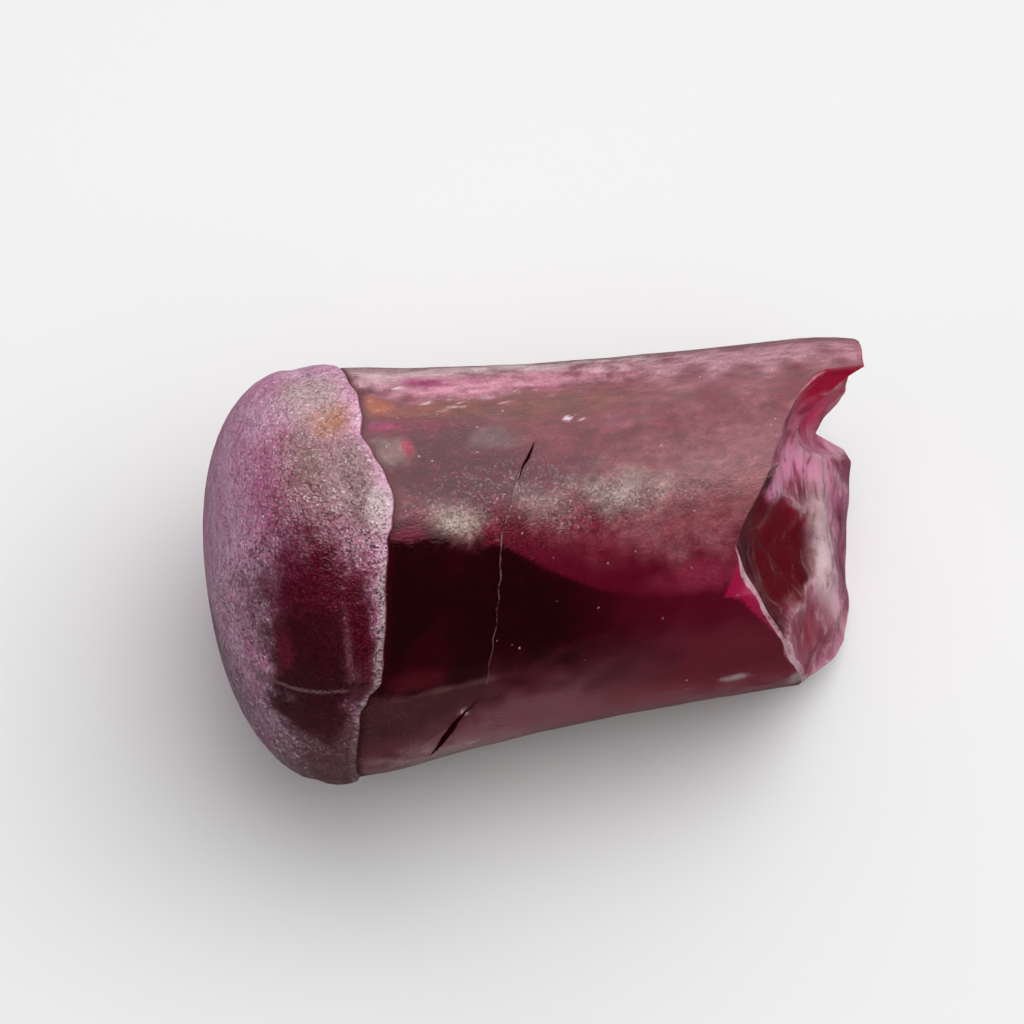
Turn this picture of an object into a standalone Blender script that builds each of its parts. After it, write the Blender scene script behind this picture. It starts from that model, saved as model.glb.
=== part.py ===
"""A broken length of flame-grown ruby boule, lying on its side on a flat surface.

It is one crystal, so it is one solid. The boule frame has "along" running from the apex of the
crown down the axis, and "across" and "rise" crossing it. The row frame is +Z up, in metres.
"""

import math

import bmesh
import bpy
from mathutils import Matrix, Vector, noise

MM = 0.001

# Driving dimensions, in millimetres and degrees.
CROWN_RADIUS = 10.05
CROWN_HEIGHT = 5.45  # apex to the widest circle
CROWN_POWER = 2.2  # 2 is an ellipse, and more is squarer at the shoulder
CROWN_TAPER = 0.03  # lost per millimetre between the widest circle and the lip
SKIN = 0.2  # how far the crown's glaze stands proud of the body at the lip
BODY_RADIUS = 8.2  # where the flare has died out
FLARE = 1.6  # added to the body at FLARE_START, fading over FLARE_LENGTH
FLARE_START = 8.0
FLARE_LENGTH = 9.0
FLARE_BLEND = 0.08
NECK_START = 29.5  # the broken end draws in from here
NECK_RATE = 0.035
LIP_SLOPE = 0.12  # length of the step's face along the axis

# The glaze ends in a bead with a groove behind it: distance back from the lip, and height.
BEAD = [
    (2.6, 0.0),
    (1.95, -0.08),
    (1.4, 0.0),
    (0.9, 0.06),
    (0.4, 0.06),
    (0.0, 0.0),
]

# The boule lies on its crown's shoulder and on the foot of its broken end.
LIE_TILT = 3.9
ROLL = -20.0  # turns the face with the split towards -Y
APEX = Vector((-16.483, -0.014, 10.1))
GROUND = 0.0  # the worn contact patches are cut off here

# Edge of the crown's glaze: degrees round the boule, and millimetres along it.
LIP = [
    (-180, 6.9),
    (-150, 7.4),
    (-120, 6.3),
    (-88, 5.85),
    (-62, 5.5),
    (-42, 5.7),
    (-36, 6.2),
    (-31, 6.8),
    (-25, 7.0),
    (-8, 7.4),
    (7, 7.8),
    (12, 8.25),
    (18, 8.4),
    (26, 8.25),
    (33, 7.85),
    (40, 7.5),
    (47, 7.75),
    (55, 7.8),
    (64, 7.6),
    (88, 7.3),
    (125, 7.7),
    (155, 6.6),
]

# Edge of the broken end, in the same way.
RIM = [
    (-180, 32.9),
    (-171, 32.6),
    (-146, 32.0),
    (-125, 31.2),
    (-116, 30.4),
    (-104, 28.8),
    (-92, 27.9),
    (-82, 27.8),
    (-66, 27.5),
    (-52, 26.7),
    (-41, 26.0),
    (-30, 25.3),
    (-22, 24.9),
    (-14, 24.5),
    (-8, 24.2),
    (-1, 24.8),
    (5, 25.4),
    (15, 26.2),
    (25, 27.1),
    (32, 27.6),
    (42, 28.6),
    (49, 29.6),
    (51.5, 30.3),
    (53, 32.1),
    (69, 32.5),
    (95, 32.6),
    (120, 33.2),
    (135, 33.1),
    (141, 32.6),
    (148, 31.9),
    (150, 31.4),
    (153, 31.6),
    (160, 32.9),
    (165, 33.2),
]

# Shells spalled out of the broken end. Each has its middle (across, rise), its depth along the
# boule there, its lean across and up, and how hollow it is across and up.
SHELLS = {
    "dark_bowl": ((-2.0, 0.0), 28.4, (0.0, -0.84), (0.12, 0.04)),
    "upper_pane": ((1.4, 0.0), 29.2, (0.15, -0.7), (0.05, 0.05)),
    "lower_pane": ((-5.5, -1.0), 29.1, (0.2, -0.6), (0.04, 0.03)),
    "foot": ((0.0, -4.0), 31.3, (0.1, -0.38), (0.02, 0.01)),
    "spur_face": ((5.5, 0.0), 31.0, (0.6, -0.38), (0.1, -0.01)),
    "trough": ((3.9, -4.0), 30.3, (0.0, -0.34), (0.5, 0.02)),
}

# A sliver spalled out of the side: degrees round, millimetres along, and half its width there.
SLIVER = [
    (-49, 11.3, 0.03),
    (-55, 10.9, 0.14),
    (-61, 10.4, 0.2),
    (-67, 9.95, 0.13),
    (-73, 9.5, 0.02),
]
SLIVER_DEPTH = 0.4

RIM_REACH = 4.0  # power of the radius with which the rim's own line fades inwards

COLUMNS = 108
CROWN_ROWS = 9
BODY_ROWS = 12
END_RINGS = 17

RUBY = (0.32, 0.03, 0.07, 1.0)


def around(points, degrees):
    """Value at an angle on a line given by (degrees, value) points that close on themselves."""
    degrees = (degrees + 180.0) % 360.0 - 180.0
    closed = points + [(points[0][0] + 360.0, points[0][1])]
    for (start, low), (end, high) in zip(closed, closed[1:]):
        if start <= degrees <= end:
            share = (degrees - start) / (end - start)
            return low + (high - low) * share
    return points[0][1]


def soft_least(a, b, blend):
    """The lesser of two values, rounded over where they meet."""
    return -blend * math.log(math.exp(-a / blend) + math.exp(-b / blend))


def body_radius(along):
    flared = BODY_RADIUS + FLARE * math.exp((FLARE_START - along) / FLARE_LENGTH)
    flared -= NECK_RATE * max(along - NECK_START, 0.0) ** 2
    return soft_least(flared, CROWN_RADIUS - SKIN, FLARE_BLEND)


def crown_radius(along):
    if along >= CROWN_HEIGHT:
        return CROWN_RADIUS - CROWN_TAPER * (along - CROWN_HEIGHT)
    fall = (1.0 - along / CROWN_HEIGHT) ** CROWN_POWER
    return CROWN_RADIUS * max(1.0 - fall, 0.0) ** (1.0 / CROWN_POWER)


def spread(radius, along, theta):
    """A point on the side, with the slight ovalness and waves of a hand-fed boule."""
    oval = 1.0 + 0.006 * math.cos(2 * theta - 0.6) + 0.004 * math.cos(3 * theta + along / 9.0)
    wave = 0.05 * noise.noise(Vector((along / 3.0, 2 * math.sin(theta), 2 * math.cos(theta))))
    reach = radius * oval + wave * min(radius / CROWN_RADIUS, 1.0)
    return Vector((along, reach * math.sin(theta), reach * math.cos(theta)))


def shell_depth(across, rise):
    """How far along the boule the fracture lies: the shallowest shell wins, and shells meet in ridges."""
    depths = []
    for middle, depth, lean, hollow in SHELLS.values():
        u = across - middle[0]
        v = rise - middle[1]
        depths.append(depth + lean[0] * u + lean[1] * v + hollow[0] * u * u + hollow[1] * v * v)
    return min(depths)


def end_point(theta, share, edge):
    """A point on the broken end, at a share of the way from the axis to the rim point edge."""
    across = edge.y * share
    rise = edge.z * share
    gap = edge.x - shell_depth(edge.y, edge.z)
    return Vector((shell_depth(across, rise) + gap * share**RIM_REACH, across, rise))


def columns():
    """For each column round the boule, the points from the apex's first ring to the end's last ring."""
    for column in range(COLUMNS):
        theta = 2 * math.pi * column / COLUMNS
        degrees = math.degrees(theta)
        lip = around(LIP, degrees)
        rim = around(RIM, degrees)
        line = []
        for row in range(1, CROWN_ROWS):
            along = (lip - BEAD[0][0]) * (1.0 - math.cos(math.pi / 2 * row / CROWN_ROWS))
            line.append(spread(crown_radius(along), along, theta))
        for back, height in BEAD:
            radius = crown_radius(lip - back) + height
            line.append(spread(radius, lip - back, theta))
        for row in range(BODY_ROWS + 1):
            along = lip + LIP_SLOPE + (rim - lip - LIP_SLOPE) * row / BODY_ROWS
            line.append(spread(body_radius(along), along, theta))
        edge = line[-1].copy()
        for ring in range(END_RINGS - 1, 0, -1):
            line.append(end_point(theta, ring / END_RINGS, edge))
        yield line


def boule_mesh():
    """The closed skin of the boule, in its own frame and in millimetres."""
    bm = bmesh.new()
    lines = [[bm.verts.new(point) for point in line] for line in columns()]
    apex = bm.verts.new((0.0, 0.0, 0.0))
    core = bm.verts.new((shell_depth(0.0, 0.0), 0.0, 0.0))
    for left, right in zip(lines, lines[1:] + lines[:1]):
        bm.faces.new((apex, right[0], left[0]))
        for low in range(len(left) - 1):
            bm.faces.new((left[low], right[low], right[low + 1], left[low + 1]))
        bm.faces.new((core, left[-1], right[-1]))
    bmesh.ops.recalc_face_normals(bm, faces=bm.faces)
    return bm


def sliver_mesh():
    """A curved wedge that follows the side, standing proud of it outside and ending in an edge inside."""
    bm = bmesh.new()
    rows = []
    for degrees, along, half in SLIVER:
        theta = math.radians(degrees)
        radius = body_radius(along)
        before = spread(radius + 0.3, along - half, theta)
        after = spread(radius + 0.3, along + half, theta)
        keel = spread(radius - SLIVER_DEPTH * min(half / 0.1, 1.0), along, theta)
        rows.append([bm.verts.new(point) for point in (before, keel, after)])
    bm.faces.new(rows[0])
    bm.faces.new(rows[-1])
    for row, beyond in zip(rows, rows[1:]):
        for side in range(3):
            other = (side + 1) % 3
            bm.faces.new((row[side], row[other], beyond[other], beyond[side]))
    bmesh.ops.recalc_face_normals(bm, faces=bm.faces)
    return bm


def lie():
    """Where the boule lies: its own frame, in millimetres, to the row's."""
    tilt = Matrix.Rotation(math.radians(LIE_TILT), 4, "Y")
    roll = Matrix.Rotation(math.radians(-ROLL), 4, "X")
    return Matrix.Translation(APEX) @ tilt @ roll


def cut_flats(bm):
    """Cuts the two small patches that the boule rests on."""
    parts = bm.verts[:] + bm.edges[:] + bm.faces[:]
    bmesh.ops.bisect_plane(
        bm, geom=parts, plane_co=(0, 0, GROUND), plane_no=(0, 0, 1), clear_inner=True
    )
    bmesh.ops.holes_fill(bm, edges=[edge for edge in bm.edges if edge.is_boundary])


def ruby_material():
    material = bpy.data.materials.new("ruby")
    material.use_nodes = True
    shader = material.node_tree.nodes["Principled BSDF"]
    shader.inputs["Base Color"].default_value = RUBY
    shader.inputs["Roughness"].default_value = 0.25
    shader.inputs["Metallic"].default_value = 0.0
    return material


def placed(bm, name):
    """An object of the mesh where the boule lies, in metres."""
    bm.transform(lie())
    if name == "boule":
        cut_flats(bm)
    bm.transform(Matrix.Scale(MM, 4))
    mesh = bpy.data.meshes.new(name)
    bm.to_mesh(mesh)
    bm.free()
    thing = bpy.data.objects.new(name, mesh)
    bpy.context.scene.collection.objects.link(thing)
    return thing


def carve(target, cutter):
    """Takes the cutter out of the target for good."""
    cut = target.modifiers.new("carve", "BOOLEAN")
    cut.operation = "DIFFERENCE"
    cut.solver = "EXACT"
    cut.object = cutter
    graph = bpy.context.evaluated_depsgraph_get()
    whole = bpy.data.meshes.new_from_object(target.evaluated_get(graph))
    target.modifiers.clear()
    target.data = whole
    bpy.data.objects.remove(cutter)


def build():
    for old in list(bpy.data.objects):
        bpy.data.objects.remove(old)
    boule = placed(boule_mesh(), "boule")
    carve(boule, placed(sliver_mesh(), "sliver"))
    boule.data.materials.clear()
    boule.data.materials.append(ruby_material())
    boule.data.shade_smooth()
    boule.data.set_sharp_from_angle(angle=math.radians(25))


build()
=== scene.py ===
import math

import bmesh
import bpy
import numpy as np
from mathutils import Matrix, Vector, noise


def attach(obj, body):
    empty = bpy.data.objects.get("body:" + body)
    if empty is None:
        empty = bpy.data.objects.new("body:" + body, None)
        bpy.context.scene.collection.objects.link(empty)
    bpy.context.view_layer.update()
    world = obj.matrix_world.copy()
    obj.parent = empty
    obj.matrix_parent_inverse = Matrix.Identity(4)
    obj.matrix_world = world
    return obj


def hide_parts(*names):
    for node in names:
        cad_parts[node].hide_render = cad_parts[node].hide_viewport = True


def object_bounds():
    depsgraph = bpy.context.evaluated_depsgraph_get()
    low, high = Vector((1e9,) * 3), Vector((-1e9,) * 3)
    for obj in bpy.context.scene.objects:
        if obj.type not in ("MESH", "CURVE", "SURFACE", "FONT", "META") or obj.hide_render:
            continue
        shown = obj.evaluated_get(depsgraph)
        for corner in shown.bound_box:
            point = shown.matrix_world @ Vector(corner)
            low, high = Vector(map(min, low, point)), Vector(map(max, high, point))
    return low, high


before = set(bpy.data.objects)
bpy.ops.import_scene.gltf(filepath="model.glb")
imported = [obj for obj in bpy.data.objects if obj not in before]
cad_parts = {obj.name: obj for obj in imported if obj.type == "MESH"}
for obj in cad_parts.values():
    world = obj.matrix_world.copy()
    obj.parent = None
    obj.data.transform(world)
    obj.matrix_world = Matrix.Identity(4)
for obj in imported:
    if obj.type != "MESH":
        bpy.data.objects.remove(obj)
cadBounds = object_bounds()
mm = 0.001

# the boule: sizes in millimetres, angles in degrees round its own axis
# along the axis, 0 is the apex of the crown; round it, 0 is the side that faces up and forwards
bouleShape = {
    "crownRadius": 10.05,
    "crownHeight": 5.45,
    "crownPower": 2.2,
    "crownTaper": 0.03,
    "skin": 0.2,  # the glaze stands this proud of the body
    "bodyRadius": 8.2,
    "flare": 1.6,
    "flareStart": 8.0,
    "flareLength": 9.0,
    "flareBlend": 0.08,
    "neckStart": 29.5,
    "neckRate": 0.035,
    "lipSlope": 0.12,
    "rimReach": 4.0,
    "seed": 4,  # without one, the broken end would wander differently each time
    "columns": 380,
    "crownRows": 70,
    "beadRows": 24,
    "bodyRows": 104,
    "endRings": 60,
    "chipRows": 3,
    "chipShare": 0.9,  # of the strip's width, before it wanders
    "chipFall": 0.7,
    "ridgeSoft": 0.08,
    "ridgeStep": 0.1,  # over which the slope beside a ridge is taken
    "ridgeSlope": 0.15,  # and the least it may be
    "oval": (0.006, 0.6),  # share of the radius, and the angle in radians it leans to
    "trefoil": (0.004, 9.0),  # share of the radius, and the length of one radian's turn
    "wave": (0.05, 3.0, 2.0),  # height, length along and number round
    "apexFade": 0.5,  # the relief starts this far from the apex
    "lipRelief": 0.3,  # share of the relief that is left at the lip
    "rimFade": 0.1,  # share of the broken end's radius that has less relief, at its rim
    "coreBack": 8.0,  # from the rim to the middle of the broken end
    "ringStretch": 0.12,
    "sharpAngle": 32.0,
}

# what a point belongs to: these numbers are in its layer "zone"
crownZone, bodyZone, breakZone, cutZone = 0, 1, 2, 3

# edge of the crown's glaze: degrees, millimetres along
lipEdge = [
    (-180, 6.9), (-150, 7.4), (-120, 6.3), (-88, 5.85), (-62, 5.5), (-42, 5.7),
    (-36, 6.2), (-31, 6.8), (-25, 7.0), (-8, 7.4), (7, 7.8), (12, 8.25),
    (18, 8.4), (26, 8.25), (33, 7.85), (40, 7.5), (47, 7.75), (55, 7.8),
    (64, 7.6), (88, 7.3), (125, 7.7), (155, 6.6),
]

# edge of the broken end
rimEdge = [
    (-180, 32.9), (-171, 32.6), (-146, 32.0), (-125, 31.2), (-116, 30.4), (-104, 28.8),
    (-92, 27.9), (-82, 27.8), (-66, 27.5), (-52, 26.7), (-41, 26.0), (-30, 25.3),
    (-22, 24.9), (-14, 24.5), (-8, 24.2), (-1, 24.8), (5, 25.4), (15, 26.2),
    (25, 27.1), (32, 27.6), (42, 28.6), (49, 29.6), (51.5, 30.3), (53, 32.1),
    (69, 32.5), (95, 32.6), (120, 33.2), (135, 33.1), (141, 32.6), (148, 31.9),
    (150, 31.4), (153, 31.6), (160, 32.9), (165, 33.2),
]

# width of the bruised strip along the rim
rimChips = [
    (-180, 0.1), (-95, 0.12), (-60, 0.4), (-52, 0.6), (-45, 0.3), (-36, 0.52),
    (-28, 0.26), (-20, 0.42), (-12, 0.16), (-4, 0.05), (25, 0.04), (45, 0.08),
    (50, 0.2), (56, 0.05), (70, 0.05),
]

# height of the glaze near its edge: millimetres back from the lip, height
beadProfile = [(2.6, 0.0), (1.95, -0.08), (1.4, 0.0), (0.9, 0.06), (0.4, 0.06), (0.0, 0.0)]

# shells spalled out of the end: middle, depth, lean and hollow, across and up, and how veiled each is
shells = {
    "darkBowl": ((-2.0, 0.0), 28.4, (0.0, -0.84), (0.12, 0.04), 0.1),
    "upperPane": ((1.4, 0.0), 29.2, (0.15, -0.7), (0.05, 0.05), 0.6),
    "lowerPane": ((-5.5, -1.0), 29.1, (0.2, -0.6), (0.04, 0.03), 0.5),
    "foot": ((0.0, -4.0), 31.3, (0.1, -0.38), (0.02, 0.01), 0.5),
    "spurFace": ((5.5, 0.0), 31.0, (0.6, -0.38), (0.1, -0.01), 0.3),
    "trough": ((3.9, -4.0), 30.3, (0.0, -0.34), (0.5, 0.02), 0.55),
}

# cuts in the side: points of degrees, millimetres along and half width, then depth
cuts = {
    "sliver": ([
        (-46, 11.4, 0.02), (-50, 10.8, 0.08), (-54, 10.35, 0.2), (-60, 9.95, 0.26),
        (-66, 9.65, 0.15), (-74, 9.2, 0.01),
    ], 0.45),
    "crackMouth": ([
        (33.5, 15.55, 0.01), (31, 15.35, 0.08), (28, 15.1, 0.13), (25.5, 14.8, 0.07),
        (21, 14.45, 0.01),
    ], 0.25),
}
cutShape = {
    "degreesPerStep": 1.5,
    "wander": (0.025, 2.3, 5.0),  # reach, degrees it takes, and where its noise starts
    "rise": 0.12,  # of the cutter's open side over the body
    "tipWidth": 0.02,  # half width below which the cut gets shallower
    "newPoint": 0.02,  # a point further than this from its old place was made by the cut
    "margin": 0.5,
}

# relief on top of the plain form: height and grain size, in millimetres; round the lip and the rim,
# the second is how many times it wanders instead
relief = {
    "crownLumps": (0.05, 0.9),
    "crownPits": (0.02, 0.34),
    "bodyWaves": (0.03, 2.2),
    "bodyRings": (0.012, 0.45),
    "lipWander": (0.09, 7.0),
    "rimWander": (0.16, 5.0),
    "rimChip": (0.5, 9.0),
    "shellWander": (0.55, 1.7),
    "breakWaves": (0.14, 1.1),
    "breakRough": (0.03, 0.4),
}

# where the boule lies, as in the solid
lying = {"tilt": 3.9, "roll": -20.0, "apex": (-16.483, -0.014, 10.1)}


def ringValue(points, degrees, soft):
    degrees = (degrees + 180.0) % 360.0 - 180.0
    closed = points + [(points[0][0] + 360.0, points[0][1])]
    for (start, low), (end, high) in zip(closed, closed[1:]):
        if start <= degrees <= end:
            share = (degrees - start) / (end - start)
            if soft:
                share = share * share * (3.0 - 2.0 * share)
            return low + (high - low) * share
    return points[0][1]


def profileValue(points, back):
    for (far, low), (near, high) in zip(points, points[1:]):
        if near <= back <= far:
            share = (far - back) / (far - near)
            share = share * share * (3.0 - 2.0 * share)
            return low + (high - low) * share
    return 0.0


def bodyRadius(along):
    s = bouleShape
    flared = s["bodyRadius"] + s["flare"] * math.exp((s["flareStart"] - along) / s["flareLength"])
    flared -= s["neckRate"] * max(along - s["neckStart"], 0.0) ** 2
    top = s["crownRadius"] - s["skin"]
    blend = s["flareBlend"]
    return -blend * math.log(math.exp(-flared / blend) + math.exp(-top / blend))


def crownRadius(along):
    s = bouleShape
    if along >= s["crownHeight"]:
        return s["crownRadius"] - s["crownTaper"] * (along - s["crownHeight"])
    fall = (1.0 - along / s["crownHeight"]) ** s["crownPower"]
    return s["crownRadius"] * max(1.0 - fall, 0.0) ** (1.0 / s["crownPower"])


def spread(radius, along, theta):
    oval, lean = bouleShape["oval"]
    trefoil, twist = bouleShape["trefoil"]
    height, length, count = bouleShape["wave"]
    outline = 1.0 + oval * math.cos(2 * theta - lean) + trefoil * math.cos(3 * theta + along / twist)
    place = Vector((along / length, count * math.sin(theta), count * math.cos(theta)))
    wave = height * noise.noise(place)
    reach = radius * outline + wave * min(radius / bouleShape["crownRadius"], 1.0)
    return Vector((along, reach * math.sin(theta), reach * math.cos(theta)))


def shellDepths(across, rise):
    depths = []
    wander = noise.noise_vector(Vector((across, rise, 0.0)) / relief["shellWander"][1])
    across += wander.x * relief["shellWander"][0]
    rise += wander.y * relief["shellWander"][0]
    for middle, depth, lean, hollow, veil in shells.values():
        u = across - middle[0]
        v = rise - middle[1]
        depths.append(depth + lean[0] * u + lean[1] * v + hollow[0] * u * u + hollow[1] * v * v)
    return depths


def shellDepth(across, rise):
    # the nearest shell, rounded off where two meet
    soft = bouleShape["ridgeSoft"]
    depths = shellDepths(across, rise)
    near = min(depths)
    return near - soft * math.log(sum(math.exp((near - depth) / soft) for depth in depths))


def shellSpot(across, rise):
    # distance to the nearest ridge between two shells, and how veiled the shell is
    step = bouleShape["ridgeStep"]
    depths = shellDepths(across, rise)
    first, second = sorted(range(len(depths)), key=depths.__getitem__)[:2]
    gap = depths[second] - depths[first]
    slope = 0.0
    for beside in (shellDepths(across + step, rise), shellDepths(across, rise + step)):
        slope += ((beside[second] - beside[first] - gap) / step) ** 2
    veiled = list(shells.values())[first][4]
    return gap / max(math.sqrt(slope), bouleShape["ridgeSlope"]), veiled


def endPoint(share, edge, edgeDepth):
    across = edge.y * share
    rise = edge.z * share
    gap = edge.x - edgeDepth
    depth = shellDepth(across, rise) + gap * share ** bouleShape["rimReach"]
    return Vector((depth, across, rise))


def bump(name, point, stretch=1.0):
    height, grain = relief[name]
    place = Vector((point.x, point.y * stretch, point.z * stretch))
    return height * noise.noise(place / grain)


def around(name, theta):
    height, count = relief[name]
    return height * noise.noise(Vector((math.sin(theta), math.cos(theta), 0.3)) * count)


def grown(point, height):
    # moves a point of the side outwards, away from the axis
    reach = math.hypot(point.y, point.z)
    scale = (reach + height) / max(reach, 0.001)
    return Vector((point.x, point.y * scale, point.z * scale))


def bouleColumn(theta):
    s = bouleShape
    degrees = math.degrees(theta)
    lip = ringValue(lipEdge, degrees, True) + around("lipWander", theta)
    rim = ringValue(rimEdge, degrees, False) + around("rimWander", theta)
    beadStart = beadProfile[0][0]
    line = []
    for row in range(1, s["crownRows"]):
        along = (lip - beadStart) * (1.0 - math.cos(math.pi / 2 * row / s["crownRows"]))
        point = spread(crownRadius(along), along, theta)
        fade = min(along / s["apexFade"], 1.0)
        point = grown(point, fade * (bump("crownLumps", point) + bump("crownPits", point)))
        line.append((point, crownZone, lip - along, rim))
    for row in range(s["beadRows"] + 1):
        back = beadStart * (1.0 - row / s["beadRows"])
        radius = crownRadius(lip - back) + profileValue(beadProfile, back)
        point = spread(radius, lip - back, theta)
        fade = s["lipRelief"] + (1.0 - s["lipRelief"]) * back / beadStart
        point = grown(point, fade * (bump("crownLumps", point) + bump("crownPits", point)))
        line.append((point, crownZone, back, rim))
    start = lip + s["lipSlope"]
    chip = ringValue(rimChips, degrees, False) * (s["chipShare"] + around("rimChip", theta))
    last = rim - chip
    for row in range(s["bodyRows"] + 1):
        along = start + (last - start) * row / s["bodyRows"]
        point = spread(bodyRadius(along), along, theta)
        point = grown(point, bump("bodyWaves", point) + bump("bodyRings", point, s["ringStretch"]))
        line.append((point, bodyZone, lip - along, rim - along))
    # bruised edge, chipped off at a slant
    for row in range(1, s["chipRows"] + 1):
        share = row / s["chipRows"]
        point = spread(bodyRadius(rim) - chip * s["chipFall"] * share, last + chip * share, theta)
        line.append((grown(point, bump("breakRough", point)), breakZone, lip - rim, 0.0))
    edge = line[-1][0].copy()
    edgeDepth = shellDepth(edge.y, edge.z)
    for ring in range(s["endRings"] - 1, 0, -1):
        share = ring / s["endRings"]
        point = endPoint(share, edge, edgeDepth)
        fade = min((1.0 - share) / s["rimFade"], 1.0)
        point.x += fade * (bump("breakWaves", point) + bump("breakRough", point))
        line.append((point, breakZone, lip - rim, (1.0 - share) * edge.yz.length))
    return line


def laidDown():
    tilt = Matrix.Rotation(math.radians(lying["tilt"]), 4, "Y")
    roll = Matrix.Rotation(math.radians(-lying["roll"]), 4, "X")
    return Matrix.Translation(Vector(lying["apex"])) @ tilt @ roll


def makeCutter(name, points, depth):
    # a curved wedge along the side, open wide outside and ending in an edge inside
    c = cutShape
    reach, period, start = c["wander"]
    bm = bmesh.new()
    rows = []
    fine = []
    for near, far in zip(points, points[1:]):
        steps = max(int(abs(far[0] - near[0]) / c["degreesPerStep"]), 1)
        for step in range(steps):
            fine.append([low + (high - low) * (step / steps) for low, high in zip(near, far)])
    fine.append(points[-1])
    for degrees, along, half in fine:
        theta = math.radians(degrees)
        along += reach * noise.noise(Vector((degrees / period, 0.0, start)))
        radius = bodyRadius(along)
        floor = -depth * min(half / c["tipWidth"], 1.0)
        row = []
        for shift, rise in ((-half, c["rise"]), (0.0, floor), (half, c["rise"])):
            row.append(bm.verts.new(spread(radius + rise, along + shift, theta)))
        rows.append(row)
    bm.faces.new(rows[0])
    bm.faces.new(rows[-1])
    for row, beyond in zip(rows, rows[1:]):
        for side in range(3):
            other = (side + 1) % 3
            bm.faces.new((row[side], row[other], beyond[other], beyond[side]))
    bmesh.ops.triangulate(bm, faces=bm.faces)
    bmesh.ops.recalc_face_normals(bm, faces=bm.faces)
    bm.transform(Matrix.Scale(mm, 4) @ laidDown())
    mesh = bpy.data.meshes.new(name)
    bm.to_mesh(mesh)
    bm.free()
    cutter = bpy.data.objects.new(name, mesh)
    bpy.context.scene.collection.objects.link(cutter)
    return cutter


def carve(piece, cutter, reach):
    cut = piece.modifiers.new("carve", "BOOLEAN")
    cut.operation = "DIFFERENCE"
    cut.solver = "EXACT"
    cut.object = cutter
    graph = bpy.context.evaluated_depsgraph_get()
    whole = bpy.data.meshes.new_from_object(piece.evaluated_get(graph))
    piece.modifiers.clear()
    piece.data = whole
    bpy.data.objects.remove(cutter)
    # the points that the cut has made don't know their place yet
    back = (Matrix.Scale(mm, 4) @ laidDown()).inverted()
    places = whole.attributes["place"].data
    zones = whole.attributes["zone"].data
    for vert, place, zone in zip(whole.vertices, places, zones):
        here = back @ vert.co
        moved = (here - Vector(place.vector)).length > cutShape["newPoint"]
        if moved and zone.value < breakZone - 0.5 and reach[0] < here.x < reach[1]:
            place.vector = here
            zone.value = cutZone


# how the skin varies; colours are linear, and hiding is how much the skin hides the clear crystal
# patches of the broken end: millimetres across and along, half sizes of both, softness, colour, hiding
breakPatches = {
    # partly frosted haze and partly painted light shining through the thin end
    "pinkPane": (2.0, 29.6, 1.5, 2.0, 0.6, (0.95, 0.33, 0.55), 0.75),
    "maroonPane": (0.4, 29.2, 1.2, 1.2, 0.5, (0.26, 0.02, 0.04), 0.66),
    "spurGlow": (6.0, 31.0, 2.2, 2.8, 0.6, (0.85, 0.008, 0.08), 0.5),
    # painted highlight: a bright pink spot on the broken end
    "pinkHighlight": (1.0, 27.1, 0.5, 0.5, 0.7, (0.98, 0.45, 0.74), 0.85),
    "paleCloud": (-2.6, 30.2, 3.2, 0.9, 0.9, (0.85, 0.64, 0.67), 0.75),
    "bowl": (-2.2, 27.2, 2.8, 1.8, 0.4, (0.42, 0.0, 0.025), 0.22),
    "mauveFoot": (-6.0, 28.6, 1.7, 1.8, 0.6, (0.46, 0.10, 0.14), 0.5),
}

# inner edge of the bright crimson corner of painted reflection between the split and the rim: degrees,
# millimetres along
cornerEdge = [(-43, 26.1), (-25.2, 24.15), (-23.7, 23.4), (-10, 24.5)]

bodySkin = {
    "cornerMiddle": -26.5,
    "crumbsMiddle": 62.0,
    "windowMiddle": 11.2,
    "veilStep": 12.15,  # where the lower veil steps down, at the crack
    "grainMiddle": (12.0, 14.0),  # where the grain is strongest
    "grainReach": (16.0, 9.0),
    "grainLeast": 0.18,
    "grainMore": 0.5,
}

skinColours = {
    "bloom": (0.46, 0.11, 0.145),  # satin of the body
    "crimson": (0.40, 0.003, 0.045),
    "crumb": (0.95, 0.66, 0.76),
    "backSatinSheen": (0.62, 0.34, 0.39),
    "lilac": (0.82, 0.44, 0.66),
    "magenta": (0.60, 0.15, 0.33),
    "paneRose": (0.80, 0.26, 0.44),
    "slate": (0.34, 0.22, 0.33),
    # colour of the painted sheen along the lip's edge
    "lipEdge": (0.50, 0.33, 0.37),
    "crease": (0.74, 0.50, 0.62),
    "mist": (0.78, 0.53, 0.57),
    # painted reflection of the inner split, in the corner by the rim
    "corner": (0.70, 0.012, 0.11),
    "cornerGlow": (0.95, 0.10, 0.30),
}

# top of the dark part of the body, millimetres along and degrees: under the clear window, then
# along the inner split
darkTop = [
    (0, 12), (7.9, 12), (9.3, 12.5), (9.9, 8), (10.8, 5.7), (11.7, 3.6), (13.2, 2.5), (14.4, -3.0),
    (15.75, -8.7), (17.55, -15.2), (19.9, -20), (22.3, -22.9), (24.6, -26), (25.3, -33), (26, -43),
    (40, -50),
]

# hairline crack round the side: degrees, millimetres along; at 60 mm it is off the boule
crackLine = [
    (-180, 60), (-40, 60), (-39.9, 11.85), (-30, 12.15), (-20.7, 12.5), (-13.3, 12.76),
    (-1.8, 13.03), (6.7, 13.36), (12.3, 13.83), (18.2, 14.23), (24.9, 14.7), (25, 60), (180, 60),
]

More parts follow.
